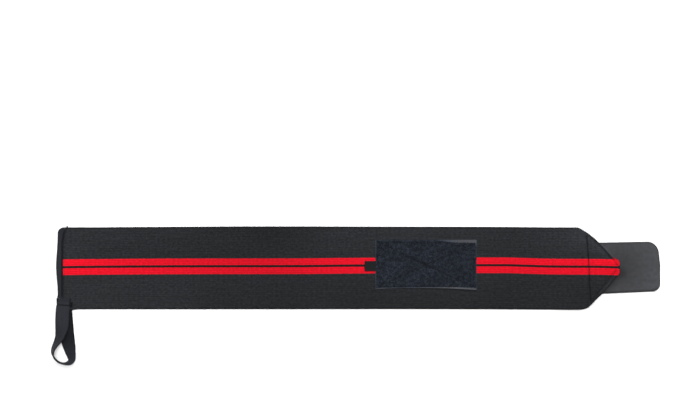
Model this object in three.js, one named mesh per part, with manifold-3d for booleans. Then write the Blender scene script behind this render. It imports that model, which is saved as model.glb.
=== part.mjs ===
// A flat elastic wrist wrap: a woven band with a bound end, a thumb loop, a loop patch, a folded point and a
// hook tab. Millimetres, +Z up. It lies on its reverse face with its outer face up. +X runs along the band
// to the hook tab, and the thumb loop lies off the -Y edge. The origin is on the band's underside, half way
// along.

import * as THREE from 'three';
import { mergeVertices } from 'three/addons/utils/BufferGeometryUtils.js';
import Module from 'manifold-3d';

const wasm = await Module();
wasm.setup();

const { CatmullRomCurve3, MathUtils, Shape, ShapeUtils, Vector2, Vector3 } = THREE;

// Driving dimensions of the whole wrap
const GAP = 0.3; // between pieces that are sewn together
const SLIT = 0.25; // between the band and its own folded corners
const HALF_LENGTH = 313; // from the middle to the bound end, and to the end of the hook tab

// Driving dimensions of the band
const BAND_THICK = 1.8;
const BAND_COLUMNS = 12; // facets across the band
const RIM_STEPS = 4; // facets round each half-round edge
const FOLD_INSET = 1; // how far a layer's edge lies inside the round of its fold
const FOLD_STEPS = 6; // facets round a fold
const FOLD_CLEAR = 0.03; // how far the round of a fold stays inside the layers it joins

// The band's two long edges. The first rows round off the bound corner, and the last ones follow the
// folded corners to the blunt tip.
const BAND_EDGES = [
  { x: -309.9, upper: 36.4, lower: -41.7 },
  { x: -308.4, upper: 39.7, lower: -42.2 },
  { x: -305.8, upper: 41.4, lower: -42.3 },
  { x: -302.0, upper: 41.8, lower: -42.3 },
  { x: -216.0, upper: 42.2, lower: -42.2 },
  { x: -91.0, upper: 42.8, lower: -42.2 },
  { x: 43.0, upper: 42.5, lower: -42.1 },
  { x: 137.0, upper: 42.3, lower: -42.3 },
  { x: 215.0, upper: 41.7, lower: -42.7 },
  { x: 226.0, upper: 41.6, lower: -42.8 },
  { x: 230.2, upper: 40.3, lower: -42.7 },
  { x: 234.4, upper: 37.9, lower: -42.0 },
  { x: 238.5, upper: 35.2, lower: -40.2 },
  { x: 242.7, upper: 32.0, lower: -36.3 },
  { x: 246.8, upper: 28.4, lower: -32.0 },
  { x: 253.0, upper: 22.1, lower: -25.7 },
  { x: 259.3, upper: 15.2, lower: -18.4 },
  { x: 264.4, upper: 10.5, lower: -12.2 },
  { x: 267.9, upper: 9.5, lower: -8.6 },
  { x: 270.0, upper: 8.3, lower: -7.0 },
  { x: 271.0, upper: 5.9, lower: -4.7 },
];

// How far the long edges lift off the ground where the cloth ripples
const EDGE_RIPPLES = [
  { x: -280, upper: 0, lower: 0 },
  { x: -236, upper: 0.9, lower: 0 },
  { x: -186, upper: 0, lower: 0.8 },
  { x: -138, upper: 0.8, lower: 0.2 },
  { x: -96, upper: 0, lower: 0 },
  { x: 126, upper: 0, lower: 0 },
  { x: 158, upper: 0.5, lower: 0.7 },
  { x: 190, upper: 0, lower: 0 },
];
const RIPPLE_STEP = 8; // between stations in the rippled stretches
const STATION_LEAST = 0.05; // stations nearer than this are one

// The tape of the binding and of the thumb loop
const TAPE_WIDTH = 14;
const TAPE_THICK = 1;
const TAPE_CHAMFER = 0.3;

// The binding, folded round the bound end, from its lower end to its upper one
const BINDING_ROWS = [
  { y: -30.7, outer: -311.9, inner: -306.0 },
  { y: -26.8, outer: -311.3, inner: -306.2 },
  { y: -20.6, outer: -311.5, inner: -306.3 },
  { y: -8.3, outer: -312.5, inner: -306.3 },
  { y: 2.0, outer: -HALF_LENGTH, inner: -306.3 },
  { y: 10.3, outer: -312.7, inner: -306.3 },
  { y: 18.5, outer: -312.1, inner: -306.3 },
  { y: 28.9, outer: -311.5, inner: -305.8 },
  { y: 34.0, outer: -311.4, inner: -304.4 },
  { y: 37.2, outer: -311.3, inner: -303.3 },
  { y: 39.7, outer: -310.2, inner: -302.3 },
  { y: 41.3, outer: -308.2, inner: -301.6 },
  { y: 42.3, outer: -306.6, inner: -301.4 },
];
const BINDING_STEPS = 6; // facets round the binding's fold

// Where the bound end and the folded point leave the ground
const END_RAMP = { from: -300, to: -280, steps: 6 };
const POINT_RAMP = { from: 190, to: 226, steps: 9 };

// The loop patch on the outer face
const PATCH = { x: 70.4, y: 4, length: 104.8, width: 51.2, thick: 1.8, bevel: 0.4 };
const PATCH_HOLLOW = 1.6; // how far the middle of its lower edge is drawn in
const PATCH_SLANT = 1.1; // how much lower its right corner is

// The hook tab under the folded point. Its free end is a little narrower and leans in its upper half.
const TAB = { length: 76, thick: 2, baseY: -0.6, baseWidth: 52.8, endY: 1.6, endWidth: 50.8 };
const TAB_CORNERS = { upper: 10, lower: 8.6 };
const CORNER_PULL = 0.45; // share of a corner's radius left beyond its curve's handles
const TAB_LEAN = { by: 1.3, above: 2.5 };
const TAB_BEVEL = 0.3;

// The folded tag at the patch's end
const TAG = { length: 11, width: 10.2, thick: 1, y: 2.1, steps: 6 };

// Heights that follow from the layers
const END_LIFT = TAPE_THICK + GAP;
const FLAP_BASE = TAB.thick + GAP;
const POINT_LIFT = FLAP_BASE + BAND_THICK + SLIT;
const OUTER_TAPE_Z = END_LIFT + BAND_THICK + GAP + TAPE_THICK / 2;
const REVERSE_TAPE_Z = TAPE_THICK / 2;
const OUTER_FACE_Z = BAND_THICK + GAP; // what is sewn on the band's outer face starts here

// The folded corners: where each flap starts, and the line that its cut edge lies on
const UPPER_FOLD = { edge: 'upper', side: 1, start: 228.5, inner: 9.6 };
const LOWER_FOLD = { edge: 'lower', side: -1, start: 233.5, inner: -8.6 };
const FOLD_END = 267; // where the folds run out at the tip
const FOLD_EASE = 4; // over which the band's edge draws into the round of its fold
const FLAP_LEAST = 2.4; // a flap narrower than this is left off

// The thumb loop's middle line, from its end on the outer face to its end on the reverse. Roll is the turn
// of the tape about its middle line: 0 flat with the outer face up, 90 on edge, 180 flat with that face down.
const LOOP_ROWS = [
  { x: -304.7, y: -31.4, z: OUTER_TAPE_Z, roll: 0 },
  { x: -305.0, y: -37.2, z: OUTER_TAPE_Z, roll: 0 },
  { x: -305.8, y: -44.8, z: OUTER_TAPE_Z + 0.1, roll: 0 },
  { x: -306.1, y: -53.1, z: 4.4, roll: 2 },
  { x: -306.4, y: -60.3, z: 4.9, roll: 14 },
  { x: -307.3, y: -65.4, z: 5.4, roll: 30 },
  { x: -308.8, y: -70.6, z: 5.9, roll: 44 },
  { x: -310.7, y: -75.0, z: 6.35, roll: 54 },
  { x: -312.2, y: -77.8, z: 6.6, roll: 60 },
  { x: -314.1, y: -81.1, z: 6.9, roll: 67 },
  { x: -315.5, y: -85.0, z: 7.05, roll: 75 },
  { x: -315.9, y: -88.4, z: 7.15, roll: 83 },
  { x: -314.9, y: -91.6, z: 7.2, roll: 89 },
  { x: -311.8, y: -95.6, z: 7.2, roll: 92 },
  { x: -308.6, y: -97.5, z: 7.2, roll: 93 },
  { x: -305.0, y: -98.3, z: 7.2, roll: 95 },
  { x: -301.4, y: -98.2, z: 7.15, roll: 100 },
  { x: -297.8, y: -96.9, z: 6.9, roll: 110 },
  { x: -296.2, y: -94.2, z: 6.5, roll: 121 },
  { x: -296.2, y: -90.2, z: 5.75, roll: 132 },
  { x: -297.0, y: -86.1, z: 4.6, roll: 145 },
  { x: -298.3, y: -81.5, z: 3.2, roll: 159 },
  { x: -299.6, y: -77.4, z: 1.9, roll: 170 },
  { x: -300.7, y: -71.8, z: 1.3, roll: 175 },
  { x: -301.7, y: -62.5, z: 1.0, roll: 177 },
  { x: -302.6, y: -53.2, z: 0.75, roll: 179 },
  { x: -303.4, y: -46.0, z: REVERSE_TAPE_Z + 0.06, roll: 180 },
  { x: -304.0, y: -42.3, z: REVERSE_TAPE_Z + 0.02, roll: 180 },
  { x: -304.5, y: -32.0, z: REVERSE_TAPE_Z, roll: 180 },
];
const LOOP_STEPS = 3; // sections for each row

// Helpers for tables of rows
function at(rows, column, x, ease = (share) => share) {
  if (x <= rows[0].x) return rows[0][column];
  const next = rows.findIndex((row) => row.x >= x);
  if (next < 0) return rows.at(-1)[column];
  const share = (x - rows[next - 1].x) / (rows[next].x - rows[next - 1].x);
  return MathUtils.lerp(rows[next - 1][column], rows[next][column], ease(share));
}

function evenly(from, to, steps) {
  return Array.from({ length: steps + 1 }, (_, i) => MathUtils.lerp(from, to, i / steps));
}

function smooth(share) {
  return MathUtils.smoothstep(share, 0, 1);
}

// A closed solid through rings of equal length. The outline is the rings' flat shape, for the two end faces.
function loft(rings, outline) {
  const count = rings[0].length;
  const last = (rings.length - 1) * count;
  const triangles = [];
  for (let start = 0; start < last; start += count) {
    for (let j = 0; j < count; j++) {
      const k = (j + 1) % count;
      triangles.push([start + j, start + k, start + count + k]);
      triangles.push([start + j, start + count + k, start + count + j]);
    }
  }
  const ends = ShapeUtils.triangulateShape(outline, []);
  for (const end of ShapeUtils.isClockWise(outline) ? ends.map(turned) : ends) {
    triangles.push(turned(end));
    triangles.push(end.map((corner) => last + corner));
  }
  return outwards(rings.flat(), triangles);
}

function turned([a, b, c]) {
  return [a, c, b];
}

// The enclosed volume is negative where the faces point in.
function outwards(points, triangles) {
  const parts = triangles.map(([a, b, c]) => points[a].dot(points[b].clone().cross(points[c])));
  const volume = parts.reduce((sum, part) => sum + part, 0);
  const faces = volume < 0 ? triangles.map(turned) : triangles;
  return new THREE.BufferGeometry().setFromPoints(points).setIndex(faces.flat());
}

// Joining of closed solids
function toSolid(geometry) {
  const bare = geometry.clone();
  bare.deleteAttribute('normal');
  bare.deleteAttribute('uv');
  const merged = mergeVertices(bare);
  const vertProperties = Float32Array.from(merged.attributes.position.array);
  const triVerts = Uint32Array.from(merged.index.array);
  return new wasm.Manifold(new wasm.Mesh({ numProp: 3, vertProperties, triVerts }));
}

function joined(...geometries) {
  const solid = geometries.map(toSolid).reduce((sum, next) => sum.add(next));
  const mesh = solid.getMesh();
  const geometry = new THREE.BufferGeometry();
  geometry.setAttribute('position', new THREE.BufferAttribute(mesh.vertProperties, 3));
  return geometry.setIndex(new THREE.BufferAttribute(mesh.triVerts, 1));
}

// The band's shape on the ground
function lift(x) {
  const end = END_LIFT * (1 - MathUtils.smoothstep(x, END_RAMP.from, END_RAMP.to));
  return end + POINT_LIFT * MathUtils.smoothstep(x, POINT_RAMP.from, POINT_RAMP.to);
}

function ripple(x, y) {
  const column = y > 0 ? 'upper' : 'lower';
  const share = Math.abs(y / at(BAND_EDGES, column, x));
  return at(EDGE_RIPPLES, column, x, smooth) * share ** 2;
}

function underside(x, y) {
  return lift(x) + ripple(x, y);
}

// One section across a layer of webbing, with half-round edges
function layerRing(x, low, high, bottom) {
  const radius = BAND_THICK / 2;
  const ends = { low: low + radius, high: high - radius };
  const across = evenly(ends.low, ends.high, BAND_COLUMNS);
  const rim = evenly(-Math.PI / 2, Math.PI / 2, RIM_STEPS).slice(1, -1);
  const round = (y, angle) =>
    new Vector3(x, y + radius * Math.cos(angle), bottom(x, y) + radius * (1 + Math.sin(angle)));
  return [
    ...across.map((y) => new Vector3(x, y, bottom(x, y))),
    ...rim.map((angle) => round(ends.high, angle)),
    ...across.map((y) => new Vector3(x, y, bottom(x, y) + BAND_THICK)).reverse(),
    ...rim.map((angle) => round(ends.low, Math.PI + angle)),
  ];
}

function sideways(ring) {
  return ring.map(({ y, z }) => new Vector2(y, z));
}

// The band: its upper layer, the two corners folded under it, and the rounds of the folds
function bandStations() {
  const rippled = EDGE_RIPPLES.slice(1).flatMap((row, i) => {
    const before = EDGE_RIPPLES[i];
    const level = row.upper + row.lower + before.upper + before.lower === 0;
    return level ? [] : evenly(before.x, row.x, Math.round((row.x - before.x) / RIPPLE_STEP));
  });
  const ramps = [END_RAMP, POINT_RAMP].flatMap(({ from, to, steps }) => evenly(from, to, steps));
  const all = [...BAND_EDGES.map(({ x }) => x), ...rippled, ...ramps];
  all.push(UPPER_FOLD.start, LOWER_FOLD.start, FOLD_END);
  all.sort((a, b) => a - b);
  return all.filter((x, i) => i === 0 || x - all[i - 1] > STATION_LEAST);
}

function drawnIn({ start }, x) {
  return FOLD_INSET * MathUtils.smoothstep(x, start, start + FOLD_EASE);
}

function upperLayer() {
  const rings = bandStations().map((x) => {
    const high = at(BAND_EDGES, 'upper', x) - drawnIn(UPPER_FOLD, x);
    const low = at(BAND_EDGES, 'lower', x) + drawnIn(LOWER_FOLD, x);
    return layerRing(x, low, high, underside);
  });
  return loft(rings, sideways(rings[0]));
}

function foldStations({ start }) {
  return bandStations().filter((x) => x >= start && x <= FOLD_END);
}

function flap(fold) {
  const rings = [];
  for (const x of foldStations(fold)) {
    const outer = at(BAND_EDGES, fold.edge, x) - fold.side * FOLD_INSET;
    const [low, high] = [fold.inner, outer].sort((a, b) => a - b);
    if (fold.side * (outer - fold.inner) > FLAP_LEAST) rings.push(layerRing(x, low, high, () => FLAP_BASE));
  }
  return loft(rings, sideways(rings[0]));
}

function foldRound(fold) {
  const half = BAND_THICK + SLIT / 2;
  const radius = half - FOLD_CLEAR;
  const angles = evenly(-Math.PI / 2, Math.PI / 2, FOLD_STEPS);
  const rings = foldStations(fold).map((x) => {
    const middle = at(BAND_EDGES, fold.edge, x) - fold.side * half;
    return angles.map((angle) => {
      const y = middle + fold.side * radius * Math.cos(angle);
      return new Vector3(x, y, FLAP_BASE + half + radius * Math.sin(angle));
    });
  });
  return loft(rings, sideways(rings[0]));
}

function band() {
  const folds = [UPPER_FOLD, LOWER_FOLD].flatMap((fold) => [flap(fold), foldRound(fold)]);
  return joined(upperLayer(), ...folds);
}

// The binding: a U of tape round the band's end, with one lap on each face
function endBinding() {
  const middle = END_LIFT + BAND_THICK / 2;
  const inside = BAND_THICK / 2 + GAP;
  const outside = inside + TAPE_THICK;
  const angles = evenly(Math.PI / 2, (3 * Math.PI) / 2, BINDING_STEPS);
  const rings = BINDING_ROWS.map(({ y, outer, inner }) => {
    const bend = outer + outside;
    const arc = (radius) =>
      angles.map((a) => new Vector3(bend + radius * Math.cos(a), y, middle + radius * Math.sin(a)));
    const lap = (height) => new Vector3(inner, y, middle + height);
    const outerWall = [lap(outside), ...arc(outside), lap(-outside)];
    return [...outerWall, lap(-inside), ...arc(inside).reverse(), lap(inside)];
  });
  return loft(rings, rings[0].map(({ x, z }) => new Vector2(x, z)));
}

// The thumb loop: flat tape swept along its middle line with its roll
function thumbLoop() {
  const curve = new CatmullRomCurve3(LOOP_ROWS.map(({ x, y, z }) => new Vector3(x, y, z)));
  const turns = new CatmullRomCurve3(LOOP_ROWS.map(({ roll }, i) => new Vector3(i, roll, 0)));
  const [half, thin] = [TAPE_WIDTH / 2, TAPE_THICK / 2];
  const corner = [
    [half, thin - TAPE_CHAMFER],
    [half - TAPE_CHAMFER, thin],
  ];
  const quarter = [...corner, ...corner.map(([w, t]) => [-w, t]).reverse()];
  const outline = [...quarter, ...quarter.map(([w, t]) => [-w, -t])].map(([w, t]) => new Vector2(w, t));
  const up = new Vector3(0, 0, 1);
  const rings = evenly(0, 1, (LOOP_ROWS.length - 1) * LOOP_STEPS).map((share) => {
    const along = curve.getTangent(share);
    const side = up.clone().cross(along).normalize();
    const rise = along.clone().cross(side);
    const roll = MathUtils.degToRad(turns.getPoint(share).y);
    const wide = side.clone().multiplyScalar(Math.cos(roll)).addScaledVector(rise, Math.sin(roll));
    const thick = rise.clone().multiplyScalar(Math.cos(roll)).addScaledVector(side, -Math.sin(roll));
    const middle = curve.getPoint(share);
    return outline.map(({ x, y }) => middle.clone().addScaledVector(wide, x).addScaledVector(thick, y));
  });
  return loft(rings, outline);
}

// A plate cut to an outline, with softened edges
function plate(outline, thick, bevel, bottom) {
  const settings = {
    depth: thick - 2 * bevel,
    bevelEnabled: true,
    bevelThickness: bevel,
    bevelSize: bevel,
    bevelOffset: -bevel,
    bevelSegments: 2,
    curveSegments: 8,
  };
  return new THREE.ExtrudeGeometry(outline, settings).translate(0, 0, bottom + bevel);
}

// The loop patch: its lower edge is drawn in between the corners
function loopPatch() {
  const { x, y, length, width } = PATCH;
  const [left, right] = [x - length / 2, x + length / 2];
  const [low, high] = [y - width / 2, y + width / 2];
  const outline = new Shape();
  outline.moveTo(left, low);
  outline.quadraticCurveTo(x, low - PATCH_SLANT / 2 + 2 * PATCH_HOLLOW, right, low - PATCH_SLANT);
  outline.lineTo(right, high);
  outline.lineTo(left, high);
  outline.closePath();
  return plate(outline, PATCH.thick, PATCH.bevel, OUTER_FACE_Z);
}

// The hook tab: square where the folded point hides it, and rounded at its free end
function hookTab() {
  const { length, thick, baseY, baseWidth, endY, endWidth } = TAB;
  const base = HALF_LENGTH - length;
  const upperEnd = new Vector2(HALF_LENGTH - TAB_LEAN.by, endY + endWidth / 2);
  const lowerEnd = new Vector2(HALF_LENGTH, endY - endWidth / 2);
  const outline = new Shape();
  outline.moveTo(base, baseY - baseWidth / 2);
  outline.lineTo(lowerEnd.x - TAB_CORNERS.lower, lowerEnd.y);
  outline.bezierCurveTo(...roundCorner(lowerEnd, TAB_CORNERS.lower, 1));
  outline.lineTo(HALF_LENGTH, TAB_LEAN.above);
  outline.lineTo(upperEnd.x, upperEnd.y - TAB_CORNERS.upper);
  outline.bezierCurveTo(...roundCorner(upperEnd, TAB_CORNERS.upper, -1));
  outline.lineTo(base, baseY + baseWidth / 2);
  outline.closePath();
  return plate(outline, thick, TAB_BEVEL, 0);
}

// A quarter round as a curve from one side of the corner to the other, anticlockwise
function roundCorner({ x, y }, radius, rise) {
  const pull = radius * CORNER_PULL;
  const along = [x - pull, y, x, y + rise * pull, x, y + rise * radius];
  const back = [x, y - pull, x - pull, y, x - radius, y];
  return rise > 0 ? along : back;
}

// The tag: two thicknesses with a round fold at the free end, its cut end against the patch
function labelTag() {
  const right = PATCH.x - PATCH.length / 2 - GAP;
  const left = right - TAG.length;
  const radius = TAG.thick / 2;
  const middle = OUTER_FACE_Z + radius;
  const angles = evenly(Math.PI / 2, (3 * Math.PI) / 2, TAG.steps);
  const rings = [TAG.y - TAG.width / 2, TAG.y + TAG.width / 2].map((y) => [
    new Vector3(right, y, middle + radius),
    ...angles.map((a) => new Vector3(left + radius + radius * Math.cos(a), y, middle + radius * Math.sin(a))),
    new Vector3(right, y, middle - radius),
  ]);
  return loft(rings, rings[0].map(({ x, z }) => new Vector2(x, z)));
}

// Finishes and the assembly
const FINISH = {
  webbing: { color: 0x2d2e31, roughness: 0.9 },
  tape: { color: 0x33343a, roughness: 0.88 },
  pile: { color: 0x262a32, roughness: 1 },
  hook: { color: 0x48484d, roughness: 0.7 },
  tag: { color: 0x1c1c1e, roughness: 0.85 },
};

const PIECES = [
  { name: 'band', geometry: band(), finish: FINISH.webbing },
  { name: 'end_binding', geometry: endBinding(), finish: FINISH.tape },
  { name: 'thumb_loop', geometry: thumbLoop(), finish: FINISH.tape },
  { name: 'loop_patch', geometry: loopPatch(), finish: FINISH.pile },
  { name: 'hook_tab', geometry: hookTab(), finish: FINISH.hook },
  { name: 'label_tag', geometry: labelTag(), finish: FINISH.tag },
];

const wrap = new THREE.Group();
for (const { name, geometry, finish } of PIECES) {
  const mesh = new THREE.Mesh(geometry, new THREE.MeshStandardMaterial({ ...finish, metalness: 0 }));
  mesh.name = name;
  wrap.add(mesh);
}

export default wrap;
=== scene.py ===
import math

import bmesh
import bpy
import numpy as np
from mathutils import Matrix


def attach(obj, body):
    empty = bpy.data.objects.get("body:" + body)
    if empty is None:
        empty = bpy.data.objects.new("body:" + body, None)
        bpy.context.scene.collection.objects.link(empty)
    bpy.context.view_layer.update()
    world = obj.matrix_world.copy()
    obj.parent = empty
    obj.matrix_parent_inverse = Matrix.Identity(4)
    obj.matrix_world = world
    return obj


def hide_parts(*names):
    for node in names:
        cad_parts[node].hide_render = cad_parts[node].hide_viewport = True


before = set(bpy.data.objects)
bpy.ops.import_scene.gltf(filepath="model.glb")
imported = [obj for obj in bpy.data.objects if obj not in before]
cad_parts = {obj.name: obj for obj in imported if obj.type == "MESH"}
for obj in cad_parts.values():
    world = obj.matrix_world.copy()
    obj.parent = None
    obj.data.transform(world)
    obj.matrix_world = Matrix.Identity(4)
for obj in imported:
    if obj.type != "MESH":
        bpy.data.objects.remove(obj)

# A flat elastic wrist wrap on its reverse face. Sizes are in millimetres: x along the band to the hook tab,
# y across it away from the thumb loop, z up.
MM = 0.001
TAU = 2 * math.pi
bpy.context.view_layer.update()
random = np.random.default_rng(11)


# Tables and smooth steps
def table(columns, *rows):
    return dict(zip(columns.split(), np.array(rows, float).T))


def ease(x, start, end):
    share = np.clip((x - start) / (end - start), 0, 1)
    return share * share * (3 - 2 * share)


def rising(x, first, more, start, end):
    return first + more * ease(x, start, end)


def between(x, start, full, leave, end):
    """A smooth rise from 0 to 1 and back."""
    return ease(x, start, full) * (1 - ease(x, leave, end))


def bell(far, half):
    return np.exp(-((far / half) ** 2))


def unit(vectors):
    return vectors / np.linalg.norm(vectors, axis=-1, keepdims=True)


def lengths(path):
    """How far along a path each of its points lies."""
    steps = np.linalg.norm(np.diff(path, axis=-2), axis=-1)
    return np.concatenate([np.zeros_like(steps[..., :1]), np.cumsum(steps, axis=-1)], axis=-1)


def calm_slopes(xs, ys):
    """Slopes at the rows of a table that keep its curve from overshooting."""
    gaps = np.diff(xs)
    rises = np.diff(ys) / gaps
    same = rises[:-1] * rises[1:] > 0
    before, after = (np.where(same, side, 1) for side in (rises[:-1], rises[1:]))
    blend = (2 * gaps[1:] + gaps[:-1]) / before + (gaps[1:] + 2 * gaps[:-1]) / after
    inner = np.where(same, 3 * (gaps[1:] + gaps[:-1]) / blend, 0)
    return np.concatenate([rises[:1], inner, rises[-1:]])


def curve_through(xs, ys, slopes, at):
    at = np.clip(at, xs[0], xs[-1])
    i = np.clip(np.searchsorted(xs, at, side="right") - 1, 0, len(xs) - 2)
    gap = xs[i + 1] - xs[i]
    t = (at - xs[i]) / gap
    ends = ys[i] * (1 + 2 * t) * (1 - t) ** 2 + ys[i + 1] * t * t * (3 - 2 * t)
    return ends + gap * (slopes[i] * t * (1 - t) ** 2 - slopes[i + 1] * t * t * (1 - t))


def follow(rows, column, at, key="x"):
    return curve_through(rows[key], rows[column], calm_slopes(rows[key], rows[column]), at)


def distance_to(path, x, y):
    """How far points lie from a line of straight stretches."""
    nearest = np.full(np.broadcast(x, y).shape, np.inf)
    for (ax, ay), (bx, by) in zip(path, path[1:]):
        length = math.hypot(bx - ax, by - ay)
        t = np.clip(((x - ax) * (bx - ax) + (y - ay) * (by - ay)) / length**2, 0, 1)
        nearest = np.minimum(nearest, np.hypot(x - ax - t * (bx - ax), y - ay - t * (by - ay)))
    return nearest


def mottle(x, y, cell):
    """Smooth random bumps from 0 to 1, about one to a cell."""
    column, row = (x - x.min()) / cell, (y - y.min()) / cell
    i, j = column.astype(int), row.astype(int)
    grid = random.random((j.max() + 2, i.max() + 2))
    s, t = ease(column - i, 0, 1), ease(row - j, 0, 1)
    lower = grid[j, i] * (1 - s) + grid[j, i + 1] * s
    upper = grid[j + 1, i] * (1 - s) + grid[j + 1, i + 1] * s
    return lower * (1 - t) + upper * t


# Node materials
class Finish:
    """A material and its nodes. The cloth's own coordinates are in millimetres."""

    def __init__(self, name, **fixed):
        self.material = bpy.data.materials.new(name)
        self.material.use_nodes = True
        self.tree = self.material.node_tree
        self.shader = self.tree.nodes["Principled BSDF"]
        for socket in self.shader.inputs:
            key = socket.name.lower().replace(" ", "_")
            if key in fixed:
                socket.default_value = fixed[key]

    def add(self, kind, inputs, output=0, **settings):
        node = self.tree.nodes.new("ShaderNode" + kind)
        for key, value in settings.items():
            setattr(node, key, value)
        for key, value in inputs.items():
            self.give(node.inputs[key], value)
        return node.outputs[output]

    def give(self, socket, value):
        if isinstance(value, bpy.types.NodeSocket):
            self.tree.links.new(value, socket)
        elif socket.type == "RGBA":
            socket.default_value = (*value, 1)
        else:
            socket.default_value = value

    def math(self, operation, *values):
        return self.add("Math", dict(enumerate(values)), operation=operation)

    def line(self, value, slope, base):
        return self.math("MULTIPLY_ADD", value, slope, base)

    def product(self, first, *factors):
        for factor in factors:
            first = self.math("MULTIPLY", first, factor)
        return first

    def distance(self, x, y):
        return self.math("SQRT", self.math("ADD", self.product(x, x), self.product(y, y)))

    def cloth(self):
        place = self.add("Attribute", {}, "Vector", attribute_name="cloth")
        return self.add("SeparateXYZ", {0: place}).node.outputs

    def tone(self):
        """How light the yarn is against its own colour, with the painted light and shade that the meshes
        carry.
        """
        return self.add("Attribute", {}, "Fac", attribute_name="tone")

    def wave(self, place, pitch=1.0):
        """From 0 at whole pitches to 1 half way between them."""
        turns = self.math("DIVIDE", place, pitch)
        return self.line(self.math("COSINE", self.product(turns, TAU)), -0.5, 0.5)

    def step(self, value, start, end, low=0.0, high=1.0):
        inputs = {0: value, 1: start, 2: end, 3: low, 4: high}
        return self.add("MapRange", inputs, interpolation_type="SMOOTHSTEP")

    def noise(self, place, length, width, detail=2.0):
        """Soft blotches of a length and a width on the cloth."""
        along, across, kind = place
        cell = {0: self.math("DIVIDE", along, length), 1: self.math("DIVIDE", across, width), 2: kind}
        return self.add("TexNoise", {"Vector": self.add("CombineXYZ", cell), "Scale": 1.0, "Detail": detail})

    def sway(self, value, amount):
        """A factor about 1 that follows a value from 0 to 1."""
        return self.line(value, amount, 1 - amount / 2)

    def mix(self, share, first, second):
        return self.add("Mix", {0: share, 6: first, 7: second}, 2, data_type="RGBA")

    def shade(self, colour, factor):
        return self.add("VectorMath", {0: colour, "Scale": factor}, operation="SCALE")

    def bump(self, height, depth, strength):
        inputs = {"Height": height, "Distance": depth * MM, "Strength": strength}
        self.give(self.shader.inputs["Normal"], self.add("Bump", inputs))

    def done(self, colour, roughness):
        self.give(self.shader.inputs["Base Color"], colour)
        self.give(self.shader.inputs["Roughness"], roughness)
        return self.material


# Sizes of the webbing and its weave
BAND_THICK = 1.8
BAND_TIP = 271
RIB = 1.83  # four red ribs to a stripe, one black rib between the stripes
RIB_DEPTH = 0.14
PICK = 1.3  # from crossing yarn to crossing yarn
STRIPE_FROM = 0.62 * RIB
STRIPE_TO = 4.42 * RIB
YARN_BITE = 0.18  # of red and black into each other
BORDER_BLUR = 0.3
MIDDLE_TONE = 0.45  # painted shade of the black rib between the stripes, as if it lay deeper
DYE_HIDES = 0.55  # share of the red yarn's unevenness

# Weaves of the tapes, the ribbon and the thread
TAPE_RIB = 1.4
TAPE_RIB_DEPTH = 0.08
TAPE_PICK = 0.9
# painted shade on the tape's back
TAPE_BACK_TONE = 0.62
SELVEDGE_PICK = 0.8
BARE_KIND = 0.55  # least third cloth coordinate of bare selvedge
HOOK_YARN = 0.7
SATIN_YARN = 0.45
THREAD_TWIST = 0.5

# Light and shade on the hook tab, from the band's tip and folds
HOOK_FADE = (0.0, 46.0, 0.62, 1.31)
LOWER_FOLD = {"at": (253.2, -26), "normal": (0.758, -0.652), "reach": 10, "side": (-9, -2, 1, 0), "by": -0.5}
UPPER_FOLD = {"at": (253, 22.4), "normal": (0.726, 0.688), "reach": 3.4, "side": (9, 13, 0, 1), "by": 0.4}
TIP_SHADE = {"x": 272.6, "y": -4.2, "reach": 8.5, "by": 0.6}

BLACK_YARN = (0.0112, 0.0120, 0.0134)
RED_YARN = (0.400, 0.0025, 0.0098)
TAPE_YARN = (0.0134, 0.0142, 0.0184)
PILE_DEEP = (0.0042, 0.0058, 0.0094)
PILE_LIGHT = (0.0235, 0.0285, 0.0395)
SELVEDGE = (0.0400, 0.0420, 0.0480)
HOOK_GREY = (0.0228, 0.0234, 0.0262)
HOOK_RIM = (0.0260, 0.0266, 0.0298)
TAG_BLACK = (0.0040, 0.0046, 0.0050)
THREAD_BLACK = (0.0035, 0.0036, 0.0042)
FLOOR_DARK = (0.77, 0.77, 0.77)
FLOOR_PALE = (0.80, 0.80, 0.80)


def webbing_finish():
    f = Finish("ribbed_webbing", specular_ior_level=0.06, sheen_weight=0.02, sheen_roughness=0.5)
    along, across, _ = place = f.cloth()
    pick = f.math("DIVIDE", along, PICK)
    teeth = f.line(f.wave(pick), 2 * YARN_BITE, -YARN_BITE)
    reach = f.math("ADD", f.math("ABSOLUTE", across), teeth)
    borders = (STRIPE_FROM, STRIPE_TO)
    inner, outer = (f.step(reach, border - BORDER_BLUR, border + BORDER_BLUR) for border in borders)
    red = f.math("SUBTRACT", inner, outer)
    # Painted shade on the black rib between the stripes
    middle_rib_shade = f.line(inner, 1 - MIDDLE_TONE, MIDDLE_TONE)
    groove = f.wave(across, RIB)
    yarn = f.noise(place, 5.0, RIB / 2)
    flecks = f.noise(place, 2.6, 2.2, 3.0)
    streaks = f.noise(place, 55.0, RIB)
    patchy = f.noise(place, 120.0, 70.0, 1.0)
    # Yarns slant to the left and right on the two halves of a rib
    knit = f.wave(f.line(groove, 0.45, pick))
    blotches = f.product(f.sway(yarn, 0.7), f.sway(flecks, 1.6), f.sway(streaks, 0.5), f.sway(patchy, 0.6))
    blotches = f.math("POWER", blotches, f.line(red, -DYE_HIDES, 1.0))
    # Painted shade in the grooves between the ribs and painted light on their crowns; the knit is the
    # weave's own slant
    lines = f.product(f.sway(groove, -0.3), f.sway(knit, 0.6))
    colour = f.shade(f.mix(red, BLACK_YARN, RED_YARN), f.product(blotches, lines, middle_rib_shade, f.tone()))
    f.bump(f.line(knit, 0.7, f.product(yarn, 0.5)), 0.12, 0.8)
    return f.done(colour, f.line(yarn, 0.2, 0.76))


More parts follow.
